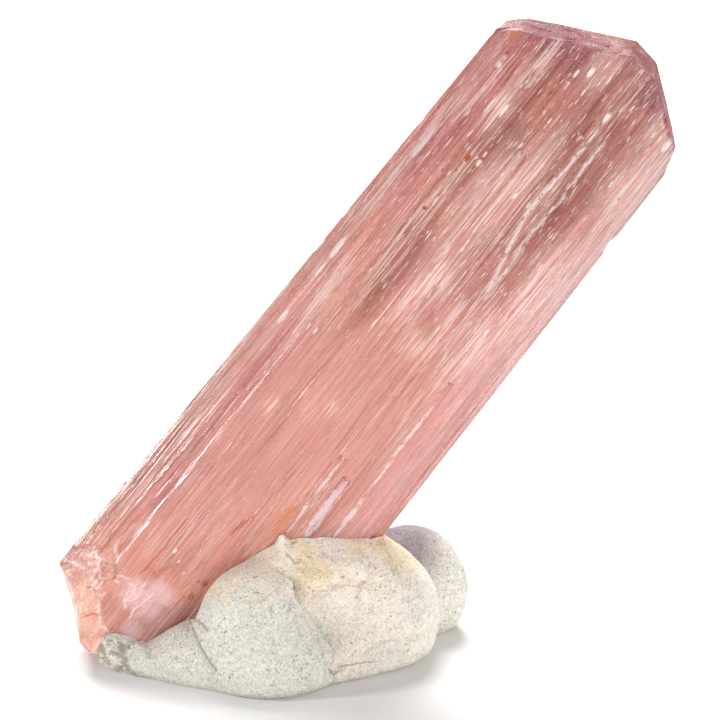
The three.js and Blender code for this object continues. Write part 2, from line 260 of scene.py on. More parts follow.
# Cracks on the front, across and up it, with a width and a depth
CRACKS = (
    (((-25.0, 4.4), (-23.6, 4.6), (-22.4, 4.0), (-21.4, 3.0)), 0.14, 0.25),
    (((-11.0, 14.4), (-10.2, 14.0), (-9.4, 13.3), (-8.0, 13.5)), 0.10, 0.2),
    (((-12.2, 12.0), (-11.0, 11.5), (-10.3, 11.0), (-9.6, 10.0)), 0.12, 0.2),
    (((7.4, 15.6), (8.4, 14.2), (9.4, 13.6), (10.6, 12.2), (11.4, 10.6)), 0.22, 0.6),
    (((8.6, 15.9), (10.2, 15.0), (11.6, 13.6)), 0.18, 0.4),
    (((-37.0, 1.2), (-35.8, 0.9), (-34.8, 0.5), (-33.6, 0.2)), 0.45, 0.8),
    (((-36.6, 0.0), (-35.4, -0.7), (-34.4, -1.5)), 0.2, 0.4),
)
# Presses of a finger and pinched lumps: centre on the surface, radius, depth
DIMPLES = (
    ((-4.8, -15.6, 9.4), 3.4, 2.6), ((-0.6, -14.6, 8.6), 4.6, 1.4), ((-5.0, -13.4, 14.2), 2.2, -1.0),
    ((-0.6, -12.6, 14.4), 2.6, -0.8), ((3.6, -13.2, 2.2), 3.0, 0.4), ((-8, 18.0, 9.0), 6.0, 1.0),
    ((-20, 13.0, 4.5), 5.0, 0.7), ((-11.4, -8.9, 19.6), 0.8, -1.1), ((12.0, 4.0, 12.0), 2.2, -0.5),
    ((9.0, 5.5, 15.5), 1.8, -0.4), ((1.8, -1.8, 18.6), 1.4, -0.8),
)


def blade_axes():
    """The blade's directions in the frame: u across, w along, v out of its front face."""
    across = np.array([1.0, 0.0, 0.0])
    upright = np.array([0.0, math.sin(BACK), math.cos(BACK)])
    w = across * math.cos(LEAN) + upright * math.sin(LEAN)
    u = across * math.sin(LEAN) - upright * math.cos(LEAN)
    return u, w, np.cross(u, w)


AXIS_U, AXIS_W, AXIS_V = blade_axes()
BLADE_FOOT = FOOT_POINT - FLOOR_MIDDLE


def from_blade(local):
    """Points given in u, w, v, turned to the frame's millimetres."""
    return BLADE_FOOT + local @ np.array([AXIS_U, AXIS_W, AXIS_V])


def value_noise(x, y, seed):
    """Smooth random heights from 0 to 1: random values on a square lattice, blended
    between each four with a smooth step in x and in y."""
    table = np.random.RandomState(seed).rand(NOISE_SIDE, NOISE_SIDE)
    x0 = np.floor(x).astype(int)
    y0 = np.floor(y).astype(int)
    fx = x - x0
    fy = y - y0
    fx = fx * fx * (3 - 2 * fx)
    fy = fy * fy * (3 - 2 * fy)
    left = x0 % NOISE_SIDE
    right = (x0 + 1) % NOISE_SIDE
    near = y0 % NOISE_SIDE
    far = (y0 + 1) % NOISE_SIDE
    near_edge = table[left, near] * (1 - fx) + table[right, near] * fx
    far_edge = table[left, far] * (1 - fx) + table[right, far] * fx
    return near_edge * (1 - fy) + far_edge * fy


def solid_noise(p, seed):
    """Smooth random heights from 0 to 1 in space: value noise on three slices added up."""
    first = value_noise(p[..., 0] + 0.37 * p[..., 2], p[..., 1] - 0.53 * p[..., 2], seed)
    second = value_noise(p[..., 1] + 0.41 * p[..., 0], p[..., 2] + 0.29 * p[..., 0], seed + 1)
    third = value_noise(p[..., 2] - 0.31 * p[..., 1], p[..., 0] + 0.47 * p[..., 1], seed + 2)
    return (first + second + third) / 3


def lumps(p, size, seed):
    """Solid noise with lumps of about this size, from -0.5 to 0.5."""
    return solid_noise(p / size, seed) - 0.5


def smooth_step(low, high, x):
    """0 below low, 1 above high and a smooth rise between."""
    t = np.clip((x - low) / (high - low), 0, 1)
    return t * t * (3 - 2 * t)


def bell(x, width):
    """1 at nought, falling to either side as a bell curve of this width."""
    return np.exp(-((x / width) ** 2))


def crossing(start, way):
    """Where a line from start along way enters and leaves the unit ball, in steps of way,
    and a number above nought where it meets the ball at all."""
    a = (way * way).sum(-1)
    b = (way * start).sum(-1)
    c = (start * start).sum(-1) - 1
    root = b * b - a * c
    half = np.sqrt(np.maximum(root, 0))
    return (-b - half) / a, (-b + half) / a, root


def plane_of(face):
    """A face as its unit outward direction and its distance from the zero point."""
    out = np.array(face[0], float)
    out = out / np.linalg.norm(out)
    return out, float(out @ np.array(face[1], float))


def grid_faces(rows, columns):
    """Quads of a grid that closes round its columns and ends in a point at either end."""
    row = np.arange(rows - 1)[:, None] * columns
    column = np.arange(columns)[None, :]
    after = (column + 1) % columns
    quads = np.stack([row + column, row + after, row + columns + after, row + columns + column], -1)
    quads = quads.reshape(-1, 4) + 1
    first = np.stack([np.zeros(columns, int), after[0] + 1, column[0] + 1], -1)
    top = 1 + (rows - 1) * columns
    last = np.stack([np.full(columns, 1 + rows * columns), top + column[0], top + after[0]], -1)
    return quads, first, last


def closed_mesh(name, first_point, grid, last_point):
    """A mesh from a grid of points in millimetres and the two points that close its ends."""
    rows, columns = grid.shape[:2]
    points = np.vstack([first_point[None, :], grid.reshape(-1, 3), last_point[None, :]]) * MM
    quads, first, last = grid_faces(rows, columns)
    mesh = bpy.data.meshes.new(name)
    mesh.from_pydata(points.tolist(), [], quads.tolist() + first.tolist() + last.tolist())
    mesh.polygons.foreach_set("use_smooth", np.ones(len(mesh.polygons), bool))
    mesh.update()
    return mesh


def store(mesh, name, values):
    """Keeps one number for each vertex under this name."""
    layer = mesh.attributes.new(name, "FLOAT", "POINT")
    layer.data.foreach_set("value", np.ascontiguousarray(values, np.float32))


def store_all(mesh, layers):
    """Keeps each layer's numbers with the values at the two end points put round them."""
    for name, values, first, last in layers:
        store(mesh, name, np.concatenate([[first], values.reshape(-1), [last]]))


def show(mesh):
    """An object of this mesh, of the same name, in the scene."""
    thing = bpy.data.objects.new(mesh.name, mesh)
    bpy.context.scene.collection.objects.link(thing)
    return thing


def section_columns(front_step, back_step):
    """Points round the section, corners kept, closer together on the front, with the
    outward direction and the distance gone round at each."""
    points, outs, gone = [], [], []
    travelled = 0.0
    for i, start in enumerate(SECTION):
        end = SECTION[(i + 1) % len(SECTION)]
        length = np.linalg.norm(end - start)
        step = front_step if (start[1] + end[1]) > -1.5 else back_step
        count = max(3, int(round(length / step)))
        share = (np.arange(count) / count)[:, None]
        points.append(start + (end - start) * share)
        out = np.array([-(end - start)[1], (end - start)[0]]) / length
        outs.append(np.repeat(out[None, :], count, 0))
        gone.append(travelled + length * share[:, 0])
        travelled += length
    return np.vstack(points), np.vstack(outs), np.concatenate(gone)


def end_height(faces, u, v, highest):
    """The length w at which the end faces cut a line along w through u, v: the lowest of
    the roof's faces, or the highest of the foot's."""
    heights = []
    for face in faces:
        out, reach = plane_of(face)
        heights.append((reach - out[0] * u - out[2] * v) / out[1])
    return np.min(heights, 0) if highest else np.max(heights, 0)


def striation(gone, w):
    """How deep the blade's lengthwise grooves are: fine noise that is long along w, plus
    terraces where broad noise passes a level, as growth layers end in ledges."""
    drift = 1.2 * value_noise(w / 45, gone / 30, 11)
    fine = 0.09 * value_noise((gone + 0.12 * drift) / 0.42, w / 34, 12)
    medium = 0.07 * value_noise(gone / 1.1 + drift * 0.2, w / 60, 13)
    broad = value_noise(gone / 2.3 + drift * 0.3, w / 48, 14)
    terraces = 0.13 * smooth_step(0.50, 0.54, broad) + 0.12 * smooth_step(0.72, 0.75, broad)
    return 0.02 + fine + medium + terraces


def ledge_depth(u, w, side):
    """The depth of the growth ledges: straight down from nothing to full along w."""
    depth = np.zeros_like(u)
    for u0, u1, w0, w1, deep, face in LEDGES:
        across = u + 0.35 * (value_noise(w / 5, np.full_like(w, u0), 21) - 0.5)
        inside = smooth_step(u0 - 0.08, u0 + 0.08, across) * (1 - smooth_step(u1 - 0.08, u1 + 0.08, across))
        along = np.clip((w - w0) / (w1 - w0), 0, 1) * (w <= w1)
        depth = np.maximum(depth, deep * along * inside * (side == face))
    return depth


def in_chips(points, width):
    """1 well below the broken zone's upper edge, 0 well above it, over this half width."""
    edge = np.interp(points[..., 0], CHIP_EDGE[:, 0], CHIP_EDGE[:, 1])
    return smooth_step(width, -width, points[..., 1] - edge)


def break_off(points):
    """Moves each point that lies in a broken wedge or a hollow towards the blade's middle,
    just as far as the wedge's nearer face or the hollow's wall. Returns the way in too."""
    u, w = points[..., 0], points[..., 1]
    middle = np.stack([np.clip(u * 0.55, -8, 8), np.clip(w, 16, 104), np.zeros_like(u)], -1)
    way = middle - points
    reach = np.linalg.norm(way, axis=-1)
    way = way / reach[..., None]
    travel = np.zeros_like(reach)
    uneven = 0.12 + 0.2 * solid_noise(points / 2.4, 37)
    for pair in BREAKS:
        ways = []
        for face in pair:
            out, distance = plane_of(face)
            over = points @ out - distance
            pace = -(way @ out)
            ways.append(np.where(over > 0, over / np.maximum(pace, 1e-3), 0))
        travel = np.maximum(travel, np.minimum(ways[0], ways[1]) * uneven)
    for centre, radii in HOLLOWS:
        enter, leave, root = crossing((points - np.array(centre)) / np.array(radii), way / np.array(radii))
        met = (root > 0) & (enter < travel + 0.02) & (leave > 0)
        travel = np.where(met, np.maximum(travel, leave), travel)
    travel = np.minimum(travel, reach * 0.8)
    return points + way * travel[..., None], way


def chip_relief(points):
    """How far each point of the broken zone lies below its chip's outer edge: each belongs
    to its nearest chip, whose face slopes its own way, with a groove between two chips.
    Gives the depth and how near a point is to such a groove."""
    place = points[..., None, :2] - CHIPS[:, :2]
    stretch = np.hypot(place[..., 0], place[..., 1] * 0.8)
    stretch = stretch + 0.5 * lumps(points, 1.1, 43)[..., None] * np.cos(np.arange(len(CHIPS)))
    order = np.sort(stretch, -1)
    seam = bell(order[..., 1] - order[..., 0], 0.28)
    chip = CHIPS[stretch.argmin(-1)]
    lean = chip[..., 3] * (points[..., 0] - chip[..., 0]) + chip[..., 4] * (points[..., 1] - chip[..., 1])
    return np.clip(chip[..., 2] + lean, 0, 0.8) + 0.10 * seam, seam


def line_marks(points, lines, wobble):
    """How near each point of the front is to any of these lines: a bell curve of its
    distance across u and w to the path, which a little noise bends."""
    across = points[..., 0] + wobble * lumps(points, 0.9, 91)
    along = points[..., 1] + wobble * lumps(points, 0.9, 95)
    marks = np.zeros(across.shape)
    for path, half_width in lines:
        marks = np.maximum(marks, bell(path_offset(across, along, path)[0], half_width))
    return marks * (points[..., 2] > 0)


def blade_mesh(front_step, back_step, rows):
    """The blade: its section carried along w from the foot's faces to the roof's, each
    point sunk by the striation. It draws in round the foot's rim as a quarter circle, and
    both ends are closed by the end faces themselves."""
    ring, outs, gone = section_columns(front_step, back_step)
    # Rows lie closer together towards the foot, where the chips are
    share = np.linspace(0, 1, rows)
    share = 0.72 * share ** 2 + 0.28 * share

    def rim(faces, highest):
        """Where the sides meet these end faces: the taper and the height are found in turn."""
        size = np.ones(len(ring))
        for _ in range(3):
            w = end_height(faces, ring[:, 0] * size, ring[:, 1] * size, highest)
            size = 1 + TAPER * (MIDDLE - w)
        return w

    low = rim(FOOT, False)
    high = rim(ROOF, True)
    w = low[None, :] + share[:, None] * (high - low)[None, :]
    size = 1 + TAPER * (MIDDLE - w)
    base = ring[None, :, :] * size[..., None]
    side = np.where(outs[:, 1] > 0.9, 1, np.where(outs[:, 1] < -0.9, -1, 0))
    chipped = in_chips(np.stack([base[..., 0], w], -1), 0.3)
    sink = striation(np.broadcast_to(gone, w.shape), w) * (1 - 0.85 * chipped)
    sink = sink + ledge_depth(base[..., 0], w, np.broadcast_to(side, w.shape))
    corner = np.min(np.linalg.norm(ring[:, None, :] - SECTION[None, :, :], axis=-1), 1)
    sink = sink * smooth_step(-0.3, 0.8, corner)[None, :]
    flat = base - outs[None, :, :] * sink[..., None]
    from_rim = np.clip(FOOT_ROUND - (w - low[None, :]), 0, FOOT_ROUND)
    draw_in = FOOT_ROUND - np.sqrt(FOOT_ROUND ** 2 - from_rim ** 2)
    flat = flat * (1 - draw_in[..., None] / HALF_SIZES)
    sides = np.stack([flat[..., 0], w, flat[..., 1]], -1)

    shares = np.linspace(0, 1, CAP_RINGS)[1:-1]
    foot_cap = FOOT_CENTRE + (sides[0] - FOOT_CENTRE) * shares[:, None, None]
    rings = sides[-1][None, :, [0, 2]] * shares[::-1, None, None]
    height = end_height(ROOF, rings[..., 0], rings[..., 1], True)
    etched = value_noise(rings[..., 0] / 0.9, rings[..., 1] / 0.9, 32)
    height = height - 0.06 * smooth_step(0.55, 0.75, etched)
    roof_cap = np.stack([rings[..., 0], height, rings[..., 1]], -1)
    grid = np.vstack([foot_cap, sides, roof_cap])
    roof = np.min([reach - grid @ out for out, reach in map(plane_of, ROOF)], 0)
    crown = np.exp(-np.maximum(roof, 0) / 0.2)
    zone = in_chips(grid, 0.25)
    white = line_marks(grid, WHITE_LINES, 0.7)
    stain = line_marks(grid, STAIN_LINES, 0.4)
    depth, seam = chip_relief(grid)
    grid, way = break_off(grid)
    fine = 0.10 * (solid_noise(grid / 0.8, 45) - 0.3)
    inward = zone * smooth_step(-0.4, 2.4, grid[..., 2])
    grid = grid + way * (inward * np.maximum(depth + fine, 0))[..., None]
    nibble = smooth_step(0.9, 0.0, roof) * smooth_step(0.5, 0.8, solid_noise(grid / 0.9, 49))
    grid = grid + way * (0.35 * nibble * (crown < 0.9))[..., None]
    last = np.array([0.0, end_height(ROOF, np.array(0.0), np.array(0.0), True), 0.0])
    mesh = closed_mesh("crystal_blade", from_blade(FOOT_CENTRE), from_blade(grid), from_blade(last))
    store_all(mesh, (
        ("broken", zone, 1.0, 0.0), ("seam", seam * zone, 0.0, 0.0), ("crown", crown, 0.0, 1.0),
        ("white_line", white, 0.0, 0.0), ("stain_line", stain, 0.0, 0.0),
    ))
    mesh.set_sharp_from_angle(angle=BLADE_SHARP)
    return mesh


def lobe_exit(lobe, start, way):
    """The distance from start along way to where it leaves a lobe, or nought."""
    centre, radii, turn = lobe
    a = math.radians(turn)
    turned = np.array([[math.cos(a), -math.sin(a), 0], [math.sin(a), math.cos(a), 0], [0, 0, 1]])
    placed = ((start - np.array(centre)) @ turned) / np.array(radii)
    _, leave, root = crossing(placed, (way @ turned) / np.array(radii))
    return np.where(root > 0, np.maximum(leave, 0), 0)


def soft_max(first, second, width):
    """The larger of two, rounded where they are closer than width."""
    near = np.maximum(width - np.abs(first - second), 0) / width
    return np.maximum(first, second) + near * near * width / 4


def path_offset(x, y, path):
    """For each place, its distance to a path of straight stretches, on which side it lies
    (positive to the left of the way the path runs), and how far along the path it is."""
    path = np.array(path, float)
    nearest = np.full(x.shape, 1e9)
    side = np.zeros(x.shape)
    along = np.zeros(x.shape)
    lengths = np.hypot(*np.diff(path, axis=0).T)
    total = lengths.sum()
    done = 0.0
    for start, end, length in zip(path[:-1], path[1:], lengths):
        run = end - start
        t = np.clip(((x - start[0]) * run[0] + (y - start[1]) * run[1]) / length ** 2, 0, 1)
        far = np.hypot(x - start[0] - t * run[0], y - start[1] - t * run[1])
        turn = np.sign((y - start[1]) * run[0] - (x - start[0]) * run[1])
        closer = far < nearest
        nearest = np.where(closer, far, nearest)
        side = np.where(closer, turn, side)
        along = np.where(closer, (done + t * length) / total, along)
        done += length
    return nearest, side, along


def front_view(surface):
    """How far across and how far up the front view each point lies."""
    return surface[..., 0], surface[..., 1] * math.sin(VIEW_TILT) + surface[..., 2] * math.cos(VIEW_TILT)


def front_relief(surface, outward):
    """What the flaps and cracks take away on the front: each is drawn in the plane across
    and up the front view. A flap's far side lies lower by its step and runs back to level
    over a few millimetres. Gives the depth and how dark the place is."""
    across, up = front_view(surface)
    facing = -outward[..., 1] * math.cos(VIEW_TILT) + outward[..., 2] * math.sin(VIEW_TILT)
    facing = smooth_step(-0.1, 0.25, facing) * (surface[..., 1] < 9)
    across = across + 0.5 * lumps(surface, 1.3, 71)
    up = up + 0.5 * lumps(surface, 1.3, 75)
    depth = np.zeros(across.shape)
    dark = np.zeros(across.shape)
    for path, step, groove in FLAPS:
        far, side, along = path_offset(across, up, path)
        fade = smooth_step(0.0, 0.22, along) * smooth_step(1.02, 0.94, along)
        low = far * side * np.sign(step)
        drop = smooth_step(-0.12, 0.22, low) * np.exp(-np.maximum(low, 0) / 3.6)
        swell = 0.35 * bell(low + 2.2, 1.8)
        depth = depth + fade * abs(step) * (drop - swell)
        # Painted shade in the groove under a flap's edge
        line = bell(low - 0.16, 0.16)
        depth = depth + fade * groove * line
        dark = np.maximum(dark, fade * line * min(1.0, 2.2 * groove + 0.1))
    for path, width, deep in CRACKS:
        far, _, along = path_offset(across, up, path)
        line = bell(far, width) * smooth_step(-0.02, 0.15, along) * smooth_step(1.02, 0.85, along)
        depth = depth + deep * line
        # Painted shade in each crack
        dark = np.maximum(dark, line)
    return depth * facing, dark * facing


def mound_folds(start, way):
    """How far each of the three folds reaches from start along way: the farthest of its
    lobes, rounded where two meet."""
    folds = []
    for lobes, width in FOLDS:
        reach = lobe_exit(lobes[0], start, way)
        for lobe in lobes[1:]:
            reach = soft_max(reach, lobe_exit(lobe, start, way), width)
        folds.append(reach)
    return np.array(folds)


def putty_shares(surface, front, knuckle, lump):
    """How grey and how mauve the putty is: the thumb's flap turns grey downwards, the band
    below it and the right end are half grey, and the knuckle is grey, mauve at its left."""
    across, up = front_view(surface)
    thumb = (path_offset(across, up, THUMB_EDGE[0])[1] < 0) & front
    below = path_offset(across, up, BAND_EDGE[0])[1] < 0
    band = below & (up < 3.5 + 0.25 * across) & (across > -3) & front
    grey = np.select([knuckle > 0.5, thumb, band, front], [
        np.full(up.shape, 0.9), smooth_step(12.5, 5.5, up + 0.12 * (across + 16) + 3 * lump),
        np.full(up.shape, 0.55), 0.1 + 0.45 * smooth_step(3.0, 7.0, across),
    ], 0.6)
    # Painted shade: the knuckle's upper left, under the blade, is darker and mauve grey
    mauve = knuckle * smooth_step(15.0, 8.0, across - 0.4 * (surface[..., 2] - 14))
    return grey, mauve


def mound_mesh(columns, rows):
    """The mound: from a short line on the floor, the farthest of its folds in each
    direction, rounded where two meet, less the flaps, cracks and presses. Close above
    the floor it draws in, as a lump pressed down on a table does."""
    turn = np.linspace(0, 2 * math.pi, columns, endpoint=False)[None, :]
    rise = (np.linspace(0, 1, rows) * math.pi / 2)[:-1, None]
    way = np.stack([
        np.cos(turn) * np.cos(rise), np.sin(turn) * np.cos(rise), np.sin(rise) * np.ones_like(turn),
    ], -1)
    start = MOUND_MIDDLE + (np.cos(turn) * np.cos(rise))[..., None] * MOUND_SPREAD
    folds = mound_folds(start, way)
    order = np.sort(folds, 0)
    which = folds.argmax(0)
    far = soft_max(soft_max(folds[0], folds[1], 0.5), folds[2], 1.6)
    surface = start + way * far[..., None]
    knuckle = smooth_step(0.5, -0.5, folds[0] - folds[1]) * (which != 2)

    # Relief of the skin, each with its height in mm: lumps, dents, grain, the seams between
    # two folds, short cracks (deeper on the knuckle), and crumbs at the mound's left end
    lump = lumps(surface, 7.0, 51)
    dent = lumps(surface, 2.2, 55)
    grain = lumps(surface, 0.75, 59)
    seam = bell(order[-1] - order[-2], 0.4) * (0.5 + 0.5 * solid_noise(surface / 3.0, 63))
    crumbs = smooth_step(-30.5, -33.5, surface[..., 0])
    crumbled = lumps(surface, 1.2, 93)
    wrinkled = smooth_step(0.48, 0.60, solid_noise(surface / 4.5, 87)) * bell(lumps(surface, 2.6, 83), 0.02)
    far = far + 0.8 * lump + (0.3 + 0.6 * knuckle) * dent + 0.2 * grain - 0.4 * seam
    far = far - (0.5 * knuckle + 0.06) * wrinkled + 1.6 * crumbs * crumbled
    depth, dark = front_relief(surface, way)
    far = far - depth
    for centre, radius, deep in DIMPLES:
        far = far - deep * bell(np.linalg.norm(surface - np.array(centre), axis=-1), radius)
    surface = start + way * far[..., None]

    draw_in = DRAW_IN * np.clip(1 - surface[..., 2] / DRAW_IN_HEIGHT, 0, 1) ** 2
    flat_way = way[..., :2] / np.linalg.norm(way[..., :2], axis=-1, keepdims=True)
    surface[..., :2] = surface[..., :2] - flat_way * draw_in[..., None]
    surface[..., 2] = np.maximum(surface[..., 2], 0)
    surface[0, :, 2] = 0
    # Painted shade: the seams between folds, the wrinkles and the gaps between crumbs darken, as do the flap
    # grooves and cracks
    dark = np.maximum(dark, seam)
    dark = np.maximum(dark, (0.25 + 0.35 * knuckle) * wrinkled)
    dark = np.maximum(dark, 0.8 * crumbs * smooth_step(-0.03, -0.16, crumbled))
    grey, mauve = putty_shares(surface, which == 0, knuckle, lump)

    floor_shares = np.linspace(0, 1, FLOOR_RINGS)[1:-1][:, None, None]
    floor_rings = MOUND_MIDDLE + (surface[0][None] - MOUND_MIDDLE) * floor_shares
    grid = np.vstack([floor_rings, surface]) - FLOOR_MIDDLE
    top = surface[-1].mean(0) - FLOOR_MIDDLE
    mesh = closed_mesh("putty_fold", MOUND_MIDDLE - FLOOR_MIDDLE, grid, top)
    floor = np.zeros(floor_rings.shape[:2])
    store_all(mesh, (
        ("grey", np.vstack([floor + 0.5, grey]), 0.5, 0.0),
        ("recess_shade", np.vstack([floor, dark]), 0.0, 0.0),
        ("mauve", np.vstack([floor, mauve]), 0.0, 0.0),
    ))
    return mesh


def socket_mesh(grow):
    """The blade's plain outline, grown, as a closed prism with flat ends beyond the mound."""
    count = len(SECTION)
    following = np.roll(SECTION, -1, 0) - SECTION
    normals = np.stack([-following[:, 1], following[:, 0]], -1)
    normals = normals / np.linalg.norm(normals, axis=1)[:, None]
    both = normals + np.roll(normals, 1, 0)
    both = both / (both * normals).sum(1)[:, None]
    outline = SECTION + both * grow
    top = 80.0
    size = np.ones(count)
    for _ in range(3):
        w = end_height(FOOT, outline[:, 0] * size, outline[:, 1] * size, False) - grow
        size = 1 + TAPER * (MIDDLE - w)
    low = np.stack([outline[:, 0] * size, w, outline[:, 1] * size], -1)
    inner = low * np.array([0.5, 1.0, 0.5])
    inner[:, 1] = end_height(FOOT, inner[:, 0], inner[:, 2], False) - grow
    size = 1 + TAPER * (MIDDLE - top)
    high = np.stack([outline[:, 0] * size, np.full(count, top), outline[:, 1] * size], -1)
    middle = np.array([0.0, end_height(FOOT, np.array(0.0), np.array(0.0), False) - grow, 0.0])
    grid = from_blade(np.array([inner, low, high]))
    return closed_mesh("socket", from_blade(middle), grid, from_blade(np.array([0.0, top, 0.0])))


def linear(hexa):
    """An sRGB hex colour as linear red, green and blue with alpha 1."""
    parts = [int(hexa[i:i + 2], 16) / 255 for i in (1, 3, 5)]
    return tuple(c / 12.92 if c <= 0.04045 else ((c + 0.055) / 1.055) ** 2.4 for c in parts) + (1.0,)


# Node settings that come up again and again
PLUS = {"operation": "ADD"}
MINUS = {"operation": "SUBTRACT"}
TIMES = {"operation": "MULTIPLY"}
TIMES_PLUS = {"operation": "MULTIPLY_ADD"}
SMOOTH = {"interpolation_type": "SMOOTHSTEP"}
BLEND = {"output": 2, "data_type": "RGBA"}


def add_node(tree, kind, inputs, output=0, **settings):
    """Adds one node with its settings. Each input holds a value or is linked from another
    node's output. Gives back one of the new node's outputs."""
    node = tree.nodes.new("ShaderNode" + kind)
    for name, value in settings.items():
        setattr(node, name, value)
    for key, value in inputs.items():
        if isinstance(value, bpy.types.NodeSocket):
            tree.links.new(value, node.inputs[key])
        else:
            node.inputs[key].default_value = value
    return node.outputs[output] if node.outputs else None


def new_material(name):
    """An empty material, and the function that adds nodes to it."""
    material = bpy.data.materials.new(name)
    material.use_nodes = True
    material.node_tree.nodes.clear()
    return material, functools.partial(add_node, material.node_tree)


def patches(node, where, ragged, spots, edge):
    """How far inside any of these ellipses in u and w a place is, from 0 to 1: its distance
    to the nearest centre, measured in half widths, falls through 1 over the edge."""
    total = None
    for u, w, half_width, half_length in spots:
        placed = node("VectorMath", {
            0: where, 1: (1 / half_width, 1 / half_length, 0.0), 2: (-u / half_width, -w / half_length, 0.0),
        }, **TIMES_PLUS)
        far = node("VectorMath", {0: placed}, 1, operation="LENGTH")
        total = far if total is None else node("Math", {0: total, 1: far}, operation="MINIMUM")
    total = node("Math", {0: total, 1: ragged}, **PLUS)
    return node("MapRange", {"Value": total, "From Min": 1.0 + edge, "From Max": 1.0 - edge}, **SMOOTH)


def lay_over(node, colour, layers):
    """A colour with others laid over it in turn: each layer's share, strength and hex colour."""
    for share, strength, hexa in layers:
        share = node("Math", {0: share, 1: strength}, **TIMES)
        colour = node("Mix", {0: share, 6: colour, 7: linear(hexa)}, **BLEND)
    return colour


